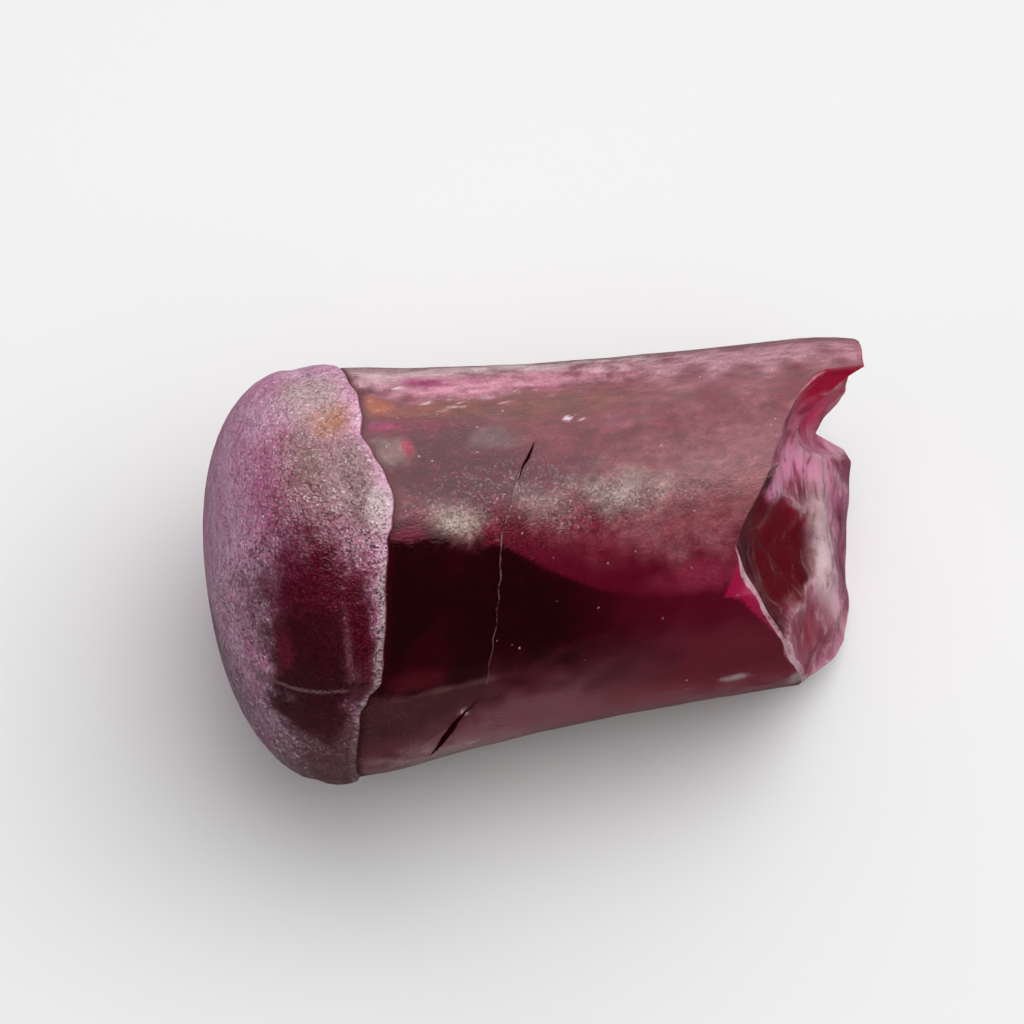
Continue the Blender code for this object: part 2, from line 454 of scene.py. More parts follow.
# patches of the body: degrees, millimetres along, half sizes of both, softness, colour, hiding
bodyPatches = {
    "wineWash": (31, 12, 17, 5.5, 0.6, (0.14, 0.0, 0.015), 0.46),
    "paleNeck": (68, 27, 10, 7, 0.7, (0.80, 0.40, 0.49), 0.62),
    # painted sheen: the top edge paler where it mirrors the pale room
    "paleEdgeSheen": (80, 12.5, 12, 9.0, 0.7, (1.0, 0.80, 0.82), 0.86),
    "paleCornerSheen": (71, 9.6, 9, 2.6, 0.8, (0.92, 0.62, 0.66), 0.72),
    "pinkShoulder": (62, 14.2, 8, 4.4, 0.6, (0.90, 0.36, 0.50), 0.66),
    "pinkOval": (66, 13.6, 3.0, 0.5, 0.4, (0.9, 0.3, 0.5), 0.55),
    "pinkFleck": (64, 11.4, 2.6, 1.0, 0.6, (0.75, 0.12, 0.32), 0.45),
    "pinkWisp": (57, 17.2, 2.0, 1.6, 0.6, (0.72, 0.16, 0.30), 0.4),
    "oliveBand": (50, 11.6, 4.0, 2.8, 0.6, (0.34, 0.055, 0.02), 0.5),
    "oliveShoulder": (47, 17.0, 9, 3.4, 0.7, (0.37, 0.07, 0.045), 0.42),
    "orangeCorner": (51, 8.5, 4.0, 0.8, 0.5, (0.62, 0.13, 0.03), 0.5),
    "crimsonStreak": (42.5, 10.2, 2.8, 2.8, 0.5, (0.22, 0.0, 0.035), 0.6),
    "magentaChip": (43, 8.5, 1.5, 0.5, 0.5, (0.50, 0.01, 0.15), 0.5),
    "maroonWash": (33, 18, 9, 4, 0.8, (0.34, 0.035, 0.065), 0.42),
    "greyFacet": (33.5, 8.7, 4.6, 1.1, 0.3, (0.36, 0.20, 0.18), 0.5),
    "facetEdge": (34.5, 9.6, 2.8, 0.22, 0.5, (0.68, 0.02, 0.10), 0.5),
    "maroonGrey": (25, 12.8, 8, 3.2, 0.6, (0.16, 0.0, 0.02), 0.45),
    "beigeSatin": (36.0, 13.6, 3.6, 1.1, 0.6, (0.34, 0.16, 0.17), 0.4),
    "satinRight": (15, 23.5, 11, 3.4, 0.9, (0.50, 0.16, 0.18), 0.48),
    # painted highlights: soft pale blobs where lights are mirrored on the body
    "highlightLeft": (9.8, 11.1, 5.2, 1.05, 0.9, (0.62, 0.46, 0.38), 0.54),
    "highlightMiddle": (12.5, 15.1, 5.2, 1.1, 0.8, (0.50, 0.23, 0.23), 0.4),
    "highlightRight": (14.5, 19.1, 6.0, 1.7, 0.9, (0.54, 0.36, 0.32), 0.47),
    "bubbleLeft": (41.8, 17.4, 0.9, 0.16, 0.5, (0.95, 0.70, 0.80), 0.8),
    "bubbleRight": (41.0, 18.1, 0.5, 0.1, 0.5, (0.95, 0.70, 0.80), 0.8),
    "bubbleTop": (54.2, 13.9, 0.9, 0.25, 0.5, (0.85, 0.40, 0.60), 0.7),
}
# the same for what lies over the inner split and below it, and for the crown
splitPatches = {
    "windowGlow": (9.0, 8.9, 2.4, 0.9, 0.5, (0.42, 0.0, 0.07), 0.32),
    # low on the side: partly haze and partly painted reflection of the table
    "lowSatin": (-77, 11.2, 14, 4.6, 0.8, (0.74, 0.50, 0.52), 0.56),
    "lowEdge": (-82, 21, 13, 8.0, 0.8, (0.62, 0.26, 0.31), 0.42),
    "lowCrimson": (-46, 24, 13, 3.0, 0.8, (0.58, 0.03, 0.085), 0.26),
    "crimsonRight": (-15.5, 22.8, 4.5, 2.2, 0.8, (0.66, 0.05, 0.13), 0.33),
    # partly haze and partly painted reflection of the table
    "mauveLow": (-60, 14.0, 9, 3.2, 0.8, (0.60, 0.22, 0.27), 0.36),
    "lowGlow": (-34.0, 8.6, 3.5, 1.0, 0.9, (0.60, 0.01, 0.05), 0.12),
    # painted highlight on a small facet beside the sliver
    "sliverHighlight": (-50.2, 10.75, 1.6, 0.22, 0.4, (0.90, 0.68, 0.70), 0.6),
    "chipMark": (-61.0, 24.0, 2.0, 0.6, 0.6, (0.72, 0.56, 0.55), 0.55),
    "cornerChip": (-70, 27.2, 7, 0.35, 0.5, (0.66, 0.52, 0.52), 0.6),
    # painted reflection: a faint grey edge low in the clear window
    "veilEdge": (-38.6, 9.9, 1.0, 2.1, 0.7, (0.34, 0.20, 0.15), 0.3),
}
crownPatches = {
    "magentaGlow": (27, 2.9, 16, 1.1, 0.8, (0.62, 0.17, 0.36), 0.76),
    "goldSpecks": (30, 5.0, 18, 1.5, 1.0, (0.30, 0.10, 0.095), 0.6),
    "orangeSpot": (47, 6.35, 7.5, 1.0, 0.5, (0.50, 0.16, 0.065), 0.8),
    "paleGlaze": (60, 5.6, 10, 1.6, 0.9, (0.54, 0.34, 0.36), 0.76),
    "beigeLip": (24, 6.9, 14, 0.9, 0.9, (0.36, 0.18, 0.18), 0.6),
    # painted highlight on the glaze by the lip
    "lipHighlight": (17, 7.75, 5.0, 0.5, 0.9, (0.62, 0.48, 0.46), 0.8),
    "lowHaze": (-66, 4.9, 26, 2.2, 0.6, (0.30, 0.09, 0.115), 0.44),
    "clearBroad": (-6, 4.3, 21, 2.6, 0.6, (0.30, 0.004, 0.055), 0.24),
    "clearLip": (-17, 6.0, 14, 0.8, 0.5, (0.25, 0.004, 0.035), 0.28),
    "clearUpper": (-20.5, 3.8, 12.0, 1.7, 0.26, (0.15, 0.004, 0.028), 0.26),
    "paneCorner": (-21, 2.6, 9, 0.35, 0.7, (0.40, 0.01, 0.07), 0.32),
    "paneBand": (-20, 5.5, 11, 0.14, 0.7, (0.40, 0.10, 0.17), 0.36),
    "clearLower": (-42, 3.6, 9.4, 1.7, 0.4, (0.19, 0.015, 0.045), 0.3),
    "clearJoin": (-32.5, 4.0, 6.5, 2.1, 0.6, (0.17, 0.01, 0.035), 0.24),
    "paleLine": (-32.4, 3.4, 0.3, 1.7, 0.6, (0.56, 0.30, 0.36), 0.42),
}

# clouds of noise: how they are stretched along and across the axis, how fine they are, and octaves
clouds = {
    "warp": ((1.0, 1.0, 1.0), 0.9, 4),
    "mottle": ((1.0, 1.0, 1.0), 0.42, 4),
    "rings": ((2.4, 0.3, 0.3), 0.4, 2),
    "streaks": ((0.3, 1.3, 1.3), 1.1, 4),
    "bodyBlotch": ((1.0, 1.0, 1.0), 2.6, 3),
    "crumbs": ((0.7, 1.6, 1.6), 2.0, 3),
    "fibres": ((0.6, 2.0, 2.0), 1.6, 3),
    "crownBlotch": ((1.0, 1.0, 1.0), 1.6, 3),
    "creases": ((1.0, 1.0, 1.0), 0.55, 3),
    "wisps": ((1.0, 0.45, 1.0), 1.5, 4),
    "crackWander": ((1.0, 1.0, 1.0), 1.7, 2),
    "bruises": ((1.0, 1.0, 1.0), 1.8, 2),
}
cloudShape = {"smoothness": 0.8, "finer": 2.0, "swing": 1.6}

# where each thing starts to show and where it shows in full: degrees round, millimetres along,
# or the strength of its noise
fades = {
    "bloom": (-1.3, 0.9),
    "awayNear": (22.0, 42.0),
    "awayFar": (84.0, 66.0),
    "awayAlong": (27.0, 14.0),
    "roseStreak": (0.3, 0.9),
    "crimsonStreak": (-0.3, -0.9),
    "crumb": (0.85, 1.2),
    "crumbTurn": (17.0, 8.0),
    "crumbAlong": (19.0, 12.0),
    "backUpper": (70.0, 84.0),
    "backLower": (-128.0, -150.0),
    "backThin": (-0.2, 1.0),
    "bandTurn": (19.0, 5.0),
    "bandAlong": (12.9, 13.5),
    "bandEnd": (-60.0, -45.0),
    "windowSoft": (1.9, 1.0),
    "low": (-48.0, -62.0),
    "under": (1.0, -1.0),
    "veilLeft": (-35.5, -39.0),
    "veilRight": (-29.0, -52.0),
    "veilThin": (16.0, 24.0),
    "cloudy": (0.0, 1.2),
    "lessClear": (15.0, 22.0),
    "cornerInner": (-0.08, 0.08),
    "cornerSides": (16.7, 16.0),
    "cornerGlow": (0.9, 1.7),
    "bodyGrain": (1.4, 0.5),
    "lipShadow": (0.5, 0.1),
    "magenta": (-1.3, 2.3),
    "slate": (0.4, 1.3),
    "duskyUpper": (-24.0, -60.0),
    "duskyLower": (-150.0, -90.0),
    "crease": (0.1, 0.0),
    "creaseAlong": (4.6, 3.0),
    "lipEdge": (0.42, 0.16),
    "lipTurn": (8.0, -3.0),
    "lipLow": (-44.0, -30.0),
    "crownGrain": (5.0, 30.0),
    "paneRose": (0.1, 0.5),
    "ridgeHaze": (0.9, 0.1),
    "hazeVeil": (0.1, 0.4),
    "clouded": (0.36, 0.52),
    "mistWisp": (0.2, 1.1),
    "crimsonWisp": (-0.3, -1.2),
    "bruiseUpper": (4.0, -14.0),
    "bruiseLower": (-110.0, -90.0),
}

# how much each thing hides the clear crystal
hides = {
    "body": 0.42, "roseStreak": 0.45, "crimsonStreak": 0.3, "crumb": 0.75, "back": 0.62,
    "splitReflection": 0.24, "window": 0.02, "veil": 0.25, "corner": 0.5, "cornerGlow": 0.6, "lipShadow": 0.08,
    "crown": 0.86, "slate": 0.8, "crease": 0.85, "lipEdge": 0.6,
    "ridgeHaze": 0.65, "mistWisp": 0.7, "crimsonWisp": 0.4,
}


def eased(value, low, high):
    share = np.clip((value - low) / (high - low), 0.0, 1.0)
    return share * share * (3.0 - 2.0 * share)


def faded(value, name):
    return eased(value, *fades[name])


def cloud(points, name):
    # noise round 0, mostly within 1 of it
    stretch, scale, octaves = clouds[name]
    smoothness, finer = cloudShape["smoothness"], cloudShape["finer"]
    scaled = [Vector(point) * scale for point in points * np.array(stretch)]
    strengths = [noise.fractal(point, smoothness, finer, octaves) for point in scaled]
    return np.array(strengths) * cloudShape["swing"]


def laid(skin, mask, colour, hiding):
    # lays a colour and its hiding over the skin, as far as the mask says
    share = mask[:, None]
    return skin * (1.0 - share) + np.array(tuple(colour) + (hiding,)) * share


def layPatches(skin, patches, along, turn, warp):
    for degrees, middle, halfTurn, halfAlong, soft, colour, hiding in patches.values():
        corners = 2 if soft < 0.3 else 1
        u = np.abs((turn - degrees) / halfTurn) ** (2 * corners)
        v = np.abs((along - middle) / halfAlong) ** (2 * corners)
        reach = (u + v) ** (0.5 / corners) + warp * min(soft, 0.35)
        skin = laid(skin, eased(reach, 1.0 + soft, 1.0 - soft), colour, hiding)
    return skin


def mixed(share, first, second):
    # a skin of two colours that hides everything
    colour = np.array(first) * (1.0 - share[:, None]) + np.array(second) * share[:, None]
    return np.concatenate((colour, np.ones((len(share), 1))), axis=1)


def paintBody(points, along, turn, warp, mottle):
    b = bodySkin
    c = skinColours
    rings = cloud(points, "rings")
    streaks = cloud(points, "streaks")
    blotch = cloud(points, "bodyBlotch")
    skin = mixed(faded(mottle + rings * 0.3 + blotch * 0.3, "bloom"), c["crimson"], c["bloom"])
    skin[:, 3] = hides["body"] + mottle * 0.08
    # streaks along the side that lies away
    away = faded(turn, "awayNear") * faded(turn, "awayFar") * faded(along, "awayAlong")
    roseStreaks = away * faded(streaks, "roseStreak") * 0.7
    skin = laid(skin, roseStreaks, c["paneRose"], hides["roseStreak"])
    skin = laid(skin, away * faded(streaks, "crimsonStreak"), c["crimson"], hides["crimsonStreak"])
    skin = layPatches(skin, bodyPatches, along, turn, warp + streaks * 0.2)
    # small bright chips near the crown's lip
    crumbs = faded(cloud(points, "crumbs"), "crumb")
    crumbs *= faded(np.abs(turn - b["crumbsMiddle"]), "crumbTurn") * faded(along, "crumbAlong")
    skin = laid(skin, crumbs, c["crumb"], hides["crumb"])
    # pale satin over the side that lies away, with painted sheen where its top edge mirrors the pale
    # room, thinner towards the underside
    back = faded(turn + warp * 4.0, "backUpper") + faded(turn, "backLower")
    skin = laid(skin, back * (0.85 - 0.3 * faded(mottle, "backThin")), c["backSatinSheen"], hides["back"])
    fibres = cloud(points, "fibres")
    skin[:, :3] *= 1.0 + 0.2 * np.clip(fibres, -1.5, 1.5)[:, None]
    skin[:, 3] += blotch * 0.05 + rings * 0.04 + fibres * 0.03
    # painted reflection: a crimson band where the inner split mirrors light
    above = turn - np.interp(along, [a for a, degrees in darkTop], [degrees for a, degrees in darkTop])
    splitReflection = faded(above + rings * 3.0, "bandTurn") * faded(along, "bandAlong") * faded(turn, "bandEnd")
    skin = laid(skin, splitReflection, c["crimson"], hides["splitReflection"])
    # the clear part under it; its upper edge is soft in the middle of the window
    soft = 0.5 + 5.0 * faded(np.abs(along - b["windowMiddle"]), "windowSoft")
    under = faded((above + blotch * (soft - 0.5) * 0.3) / soft, "under")
    # mauve veil low on the clear part, partly haze and partly painted reflection of the table, which
    # starts lower on the left of the crack
    low = faded(turn, "low")
    softer = 0.12 + 2.5 * low
    left = eased(along, b["veilStep"] + softer, b["veilStep"] - softer)
    veil = left * faded(turn + warp * 1.5, "veilLeft")
    veil += (1.0 - left) * faded(turn + warp * 4.0, "veilRight")
    skin = laid(skin, under, c["crimson"], 0.0)
    skin = laid(skin, under * veil * (1.0 - 0.8 * faded(along, "veilThin")), c["bloom"], 0.0)
    clear = hides["window"] + faded(mottle, "cloudy") * 0.03 + faded(along, "lessClear") * 0.2
    veiled = (hides["veil"] + mottle * 0.04 + fibres * 0.03 + low * 0.2) * veil * (1.0 - 0.4 * left)
    skin[:, 3] = skin[:, 3] * (1.0 - under) + under * (clear * (1.0 - veil) + veiled)
    skin = layPatches(skin, splitPatches, along, turn, warp)
    # painted reflection: a bright crimson corner between the split and the rim, where the inner split
    # mirrors light, with a brighter painted glow
    inner = np.interp(turn, [degrees for degrees, a in cornerEdge], [a for degrees, a in cornerEdge])
    corner = faded(along - inner, "cornerInner")
    corner *= faded(np.abs(turn - b["cornerMiddle"]), "cornerSides")
    skin = laid(skin, corner, c["corner"], hides["corner"])
    glow = corner * faded(along - inner - 0.02 * turn, "cornerGlow") * 0.7
    skin = laid(skin, glow, c["cornerGlow"], hides["cornerGlow"])
    # how strong the grain shows: most round the painted highlights, none in the corner
    away = np.abs(turn - b["grainMiddle"][0]) / b["grainReach"][0]
    away += np.abs(along - b["grainMiddle"][1]) / b["grainReach"][1]
    grainy = b["grainLeast"] + b["grainMore"] * faded(away, "bodyGrain")
    return skin, grainy * eased(corner, 1.0, 0.5)


def paintCrown(points, along, turn, warp, mottle, lipBack):
    c = skinColours
    blotch = cloud(points, "crownBlotch")
    skin = mixed(faded(mottle + blotch * 0.6, "magenta"), c["lilac"], c["magenta"])
    skin = laid(skin, faded(blotch - mottle * 0.5, "slate") * 0.55, c["slate"], hides["slate"])
    # darker round the crown's lower side
    dusky = faded(turn, "duskyUpper") * faded(turn, "duskyLower")
    skin[:, :3] *= 1.0 - 0.45 * dusky[:, None]
    skin[:, 3] = hides["crown"] + mottle * 0.08
    # fine creases of the glaze round the apex
    crease = faded(np.abs(cloud(points, "creases")), "crease") * faded(along, "creaseAlong")
    skin = laid(skin, crease * 0.45, c["crease"], hides["crease"])
    skin = layPatches(skin, crownPatches, along, turn, warp * 0.45 + blotch * 0.15)
    # painted sheen: a glossy pale edge along the lower half of the lip
    edge = faded(lipBack + blotch * 0.08, "lipEdge") * faded(turn, "lipTurn")
    edge *= 0.25 + 0.75 * faded(turn, "lipLow")
    return laid(skin, edge, c["lipEdge"], hides["lipEdge"])


def paintBreak(points, veil, mottle, warp, ridge):
    c = skinColours
    wisps = cloud(points, "wisps")
    skin = mixed(faded(veil + mottle * 0.12, "paneRose"), c["crimson"], c["paneRose"])
    skin[:, 3] = veil * (1.0 + mottle * 0.35)
    skin = layPatches(skin, breakPatches, points[:, 0], points[:, 1], warp * 0.5 + wisps * 0.25)
    haze = faded(ridge + wisps * 0.3, "ridgeHaze") * faded(veil, "hazeVeil")
    skin = laid(skin, haze * 0.2, c["mist"], hides["ridgeHaze"])
    clouded = faded(skin[:, 3], "clouded")
    skin = laid(skin, faded(wisps, "mistWisp") * 0.45 * clouded, c["mist"], hides["mistWisp"])
    return laid(skin, faded(wisps, "crimsonWisp") * 0.5 * clouded, c["crimson"], hides["crimsonWisp"])


def readLayer(mesh, name, width=1):
    values = np.zeros(len(mesh.vertices) * width)
    mesh.attributes[name].data.foreach_get("vector" if width == 3 else "value", values)
    return values.reshape(-1, width) if width > 1 else values


def writeLayer(mesh, name, values, kind="FLOAT"):
    layer = mesh.attributes.new(name, kind, "POINT")
    layer.data.foreach_set("color" if kind == "FLOAT_COLOR" else "value", values.ravel())


def paintBoule(mesh):
    print("boule: painting the skin")
    points = readLayer(mesh, "place", 3)
    zone = readLayer(mesh, "zone")
    along = points[:, 0]
    turn = np.degrees(np.arctan2(points[:, 1], points[:, 2]))
    warp = cloud(points, "warp")
    mottle = cloud(points, "mottle")
    lipBack = readLayer(mesh, "lipBack")
    onCrown = zone < (crownZone + bodyZone) / 2
    onBody = zone < (bodyZone + breakZone) / 2
    crown = paintCrown(points, along, turn, warp, mottle, lipBack)
    body, bodyGrain = paintBody(points, along, turn, warp, mottle)
    # painted shadow: a dark line on the body just beyond the crown's lip
    body = laid(body, faded(-lipBack, "lipShadow") * 0.8, skinColours["crimson"], hides["lipShadow"])
    end = paintBreak(points, readLayer(mesh, "veil"), mottle, warp, readLayer(mesh, "ridge"))
    skin = np.where(onCrown[:, None], crown, np.where(onBody[:, None], body, end))
    writeLayer(mesh, "skin", np.clip(skin, 0.0, 1.0), "FLOAT_COLOR")
    crownGrain = 1.0 - 0.4 * faded(turn, "crownGrain")
    writeLayer(mesh, "grainy", np.where(onCrown, crownGrain, np.where(onBody, bodyGrain, 0.0)))
    crack = np.interp(turn, [degrees for degrees, a in crackLine], [a for degrees, a in crackLine])
    writeLayer(mesh, "crackOff", along - crack + 0.06 * cloud(points, "crackWander"))
    bruised = 0.15 + 0.75 * faded(turn, "bruiseUpper") * faded(turn, "bruiseLower")
    bruised += 0.45 * cloud(points, "bruises")
    writeLayer(mesh, "bruised", np.clip(bruised, 0.0, 1.0))


def makeBoule():
    print("boule: shaping the crystal")
    noise.seed_set(bouleShape["seed"])
    bm = bmesh.new()
    place = bm.verts.layers.float_vector.new("place")
    zone = bm.verts.layers.float.new("zone")
    lipBack = bm.verts.layers.float.new("lipBack")
    rimBack = bm.verts.layers.float.new("rimBack")
    ridge = bm.verts.layers.float.new("ridge")
    veil = bm.verts.layers.float.new("veil")
    count = bouleShape["columns"]
    lines = []
    for column in range(count):
        line = []
        for point, part, fromLip, fromRim in bouleColumn(2 * math.pi * column / count):
            vert = bm.verts.new(point)
            vert[place] = point
            vert[zone] = part
            vert[lipBack] = fromLip
            vert[rimBack] = fromRim
            if part == breakZone:
                vert[ridge], vert[veil] = shellSpot(point.y, point.z)
            line.append(vert)
        lines.append(line)
    apex = bm.verts.new((0.0, 0.0, 0.0))
    core = bm.verts.new((shellDepth(0.0, 0.0), 0.0, 0.0))
    apex[place] = apex.co
    core[place] = core.co
    core[zone] = breakZone
    core[rimBack] = bouleShape["coreBack"]
    core[ridge], core[veil] = shellSpot(0.0, 0.0)
    for left, right in zip(lines, lines[1:] + lines[:1]):
        bm.faces.new((apex, right[0], left[0]))
        for low in range(len(left) - 1):
            bm.faces.new((left[low], right[low], right[low + 1], left[low + 1]))
        bm.faces.new((core, left[-1], right[-1]))
    bmesh.ops.recalc_face_normals(bm, faces=bm.faces)
    bm.transform(laidDown())
    parts = bm.verts[:] + bm.edges[:] + bm.faces[:]
    bmesh.ops.bisect_plane(
        bm, geom=parts, plane_co=(0, 0, 0), plane_no=(0, 0, 1), clear_inner=True
    )
    bmesh.ops.holes_fill(bm, edges=[edge for edge in bm.edges if edge.is_boundary])
    bm.transform(Matrix.Scale(mm, 4))
    low, high = [Vector(corner) for corner in cadBounds]
    for vert in bm.verts:
        for axis in range(3):
            vert.co[axis] = min(max(vert.co[axis], low[axis]), high[axis])
    mesh = bpy.data.meshes.new("rubyBoule")
    bm.to_mesh(mesh)
    bm.free()
    piece = bpy.data.objects.new("rubyBoule", mesh)
    bpy.context.scene.collection.objects.link(piece)
    for name, (points, depth) in cuts.items():
        spots = [along for degrees, along, half in points]
        reach = (min(spots) - cutShape["margin"], max(spots) + cutShape["margin"])
        carve(piece, makeCutter(name, points, depth), reach)
    markWalls(piece.data)
    paintBoule(piece.data)
    piece.data.shade_smooth()
    piece.data.set_sharp_from_angle(angle=math.radians(bouleShape["sharpAngle"]))
    return piece


def markWalls(mesh):
    # 1 on the walls of a cut, which get painted shade
    zone = readLayer(mesh, "zone")
    wallShade = [min(zone[vert] for vert in face.vertices) - breakZone for face in mesh.polygons]
    layer = mesh.attributes.new("wall", "FLOAT", "FACE")
    layer.data.foreach_set("value", np.clip(wallShade, 0.0, 1.0))
    mesh.attributes["zone"].data.foreach_set("value", np.where(zone > cutZone - 0.5, bodyZone, zone))


class Wire:
    # a socket that can stand in a sum, and the one way to add a node
    def __init__(self, tree, socket=None):
        self.tree = tree
        self.socket = socket

    def add(self, kind, settings=None, sockets=None, out=0):
        made = self.tree.nodes.new(kind)
        for name, value in (settings or {}).items():
            setattr(made, name, value)
        for name, value in (sockets or {}).items():
            if isinstance(value, Wire):
                self.tree.links.new(value.socket, made.inputs[name])
            else:
                made.inputs[name].default_value = value
        return Wire(self.tree, made.outputs[out] if made.outputs else None)

    def other(self, name):
        return Wire(self.tree, self.socket.node.outputs[name])

    def math(self, operation, first, second=0.0):
        return self.add("ShaderNodeMath", {"operation": operation}, {0: first, 1: second})

    def vector(self, operation, sockets, out=0):
        return self.add("ShaderNodeVectorMath", {"operation": operation}, sockets, out)

    def __add__(self, other):
        return self.math("ADD", self, other)

    def __mul__(self, other):
        return self.math("MULTIPLY", self, other)

    def __sub__(self, other):
        return self.math("SUBTRACT", self, other)

    def __rsub__(self, other):
        return self.math("SUBTRACT", other, self)

    __radd__ = __add__
    __rmul__ = __mul__


def smoothStep(value, low, high):
    # 0 below low and 1 above high, or the other way round where high is the smaller
    if low > high:
        return 1.0 - smoothStep(value, high, low)
    return value.add(
        "ShaderNodeMapRange", {"interpolation_type": "SMOOTHSTEP"},
        {"Value": value, "From Min": low, "From Max": high, "To Min": 0.0, "To Max": 1.0},
    )


def blend(factor, first, second):
    if isinstance(first, Wire) or isinstance(second, Wire):
        return first * (1.0 - factor) + second * factor
    return factor * (second - first) + first


def mixColour(factor, first, second):
    return factor.add("ShaderNodeMix", {"data_type": "RGBA"}, {0: factor, 6: first, 7: second}, 2)


def centred(speckle):
    # noise round 0, mostly within 1 of it
    return (speckle - 0.5) * 5.0


rubyLook = {
    "ior": 1.76,
    "absorption": (0.85, 0.0, 0.46, 1.0),
    "density": 800.0,
    "crimson": (0.40, 0.003, 0.045, 1.0),
    # colour of the painted shade in the cuts and along the crack
    "shadeColour": (0.05, 0.0, 0.005, 1.0),
    "hairline": (0.64, 0.33, 0.35, 1.0),
    # colour of the painted shade in the pits of the grain
    "dusk": (0.10, 0.025, 0.06, 1.0),
    "blush": (0.85, 0.42, 0.54, 1.0),
    # colour of the painted sparkles
    "sparkle": (1.0, 0.90, 0.86, 1.0),
    # pale chalk of the flecks and the break, and the colour of the painted glints
    "chalk": (0.86, 0.66, 0.66, 1.0),
    "fineScale": 8.5,  # of the noise, for each millimetre
    "coarseScale": 2.2,
    "cellsPerMm": 11.0,
    "stir": 1.4,  # how far the fine noise shifts the cells
    "bodyRoughness": 0.24,
    "windowRoughness": 0.06,
    "crownRoughness": 0.34,
    "breakRoughness": 0.08,
    "flecksHide": 0.4,
    "whiteHides": 0.6,
    "wallsHide": 0.8,
    # strength of a layer or a noise at which each thing starts to show and shows in full
    "shows": {
        "crown": (0.55, 0.45),
        "break": (1.45, 1.55),
        "frost": (0.2, 0.5),
        "pits": (0.45, 0.1),
        "glints": (0.72, 0.95),
        "sparkles": (0.955, 0.985),
        "satin": (0.03, 0.2),
        "bodyGrain": (0.0, 0.14),
        "crimsonGrain": (0.45, 0.0),
        "flecks": (0.9989, 0.9997),
        "hair": (0.045, 0.015),
        "hairShade": (0.06, 0.02),
        "hairChips": (-1.0, 0.4),
        "ridges": (0.3, 0.06),
        "ridgeGaps": (-1.6, 0.6),
        "bruises": (0.22, 0.08),
        "chalky": (-0.6, 1.0),
        "wallShade": (0.4, 0.6),
        "glossy": (0.14, 0.05),
    },
}


def shown(value, name):
    return smoothStep(value, *rubyLook["shows"][name])


def painted(ruby, name, out=2):
    return ruby.add("ShaderNodeAttribute", {"attribute_name": name}, {}, out)


def grainCells(place, speckle):
    # cells of about a tenth of a millimetre, each with its own random red, green and blue
    cell = place.vector("SCALE", {0: place, "Scale": rubyLook["cellsPerMm"]})
    stir = place.vector("SCALE", {0: speckle.other("Color"), "Scale": rubyLook["stir"]})
    cell = place.vector("FLOOR", {0: place.vector("ADD", {0: cell, 1: stir})})
    cell = place.add("ShaderNodeTexWhiteNoise", {}, {"Vector": cell}, "Color")
    return place.add("ShaderNodeSeparateColor", {}, {0: cell})


def addGrain(colour, hiding, grainy, random, coarse, onCrown, onBody):
    look = rubyLook
    green = random.other("Green")
    # dark pits of painted shade, painted glints and, on the crown, bright painted sparkles in the
    # frosted skin
    frost = grainy * shown(hiding - 0.1 * onCrown, "frost")
    pits = shown(random + coarse * 0.12, "pits") * frost
    glints = shown(green + coarse * 0.08, "glints") * frost
    sparkles = shown(random.other("Blue") + coarse * 0.004, "sparkles") * frost * onCrown
    colour = mixColour(pits * 0.7, colour, look["dusk"])
    colour = mixColour(glints * 0.6, colour, look["chalk"])
    colour = mixColour(sparkles * 0.8, colour, look["sparkle"])
    hiding = hiding + (random - 0.5) * grainy * hiding.math("MINIMUM", hiding, 0.35) * 1.2
    # fine crimson grain in the satin of the body
    crimson = onBody * shown(hiding, "satin") * shown(grainy, "bodyGrain")
    crimson = shown(green + coarse * 0.15, "crimsonGrain") * crimson * 0.3
    return mixColour(crimson, colour, look["crimson"]), hiding


def addHairline(colour, hiding, crackOff, coarse, onBody):
    # a fine crack, pale where it has chipped, with painted shade along its left
    look = rubyLook
    hair = shown(crackOff.math("ABSOLUTE", crackOff), "hair") * onBody
    shade = shown(crackOff.math("ABSOLUTE", crackOff + 0.08), "hairShade") * onBody
    chipped = shown(coarse, "hairChips")
    colour = mixColour(hair * chipped, colour, look["hairline"])
    colour = mixColour(shade * 0.7, colour, look["shadeColour"])
    return colour, blend(hair, hiding, hiding * 0.6 + 0.05 + chipped * 0.14)


def breakWhite(ruby, grit, coarse, onBreak):
    # ridges between the shells, and the bruised rim
    ridges = shown(painted(ruby, "ridge") - coarse * 0.06, "ridges") * shown(coarse, "ridgeGaps") * 0.5
    rim = shown(painted(ruby, "rimBack") + grit * 0.05 - coarse * 0.1, "bruises")
    return ruby.math("MAXIMUM", ridges, rim * painted(ruby, "bruised")) * onBreak


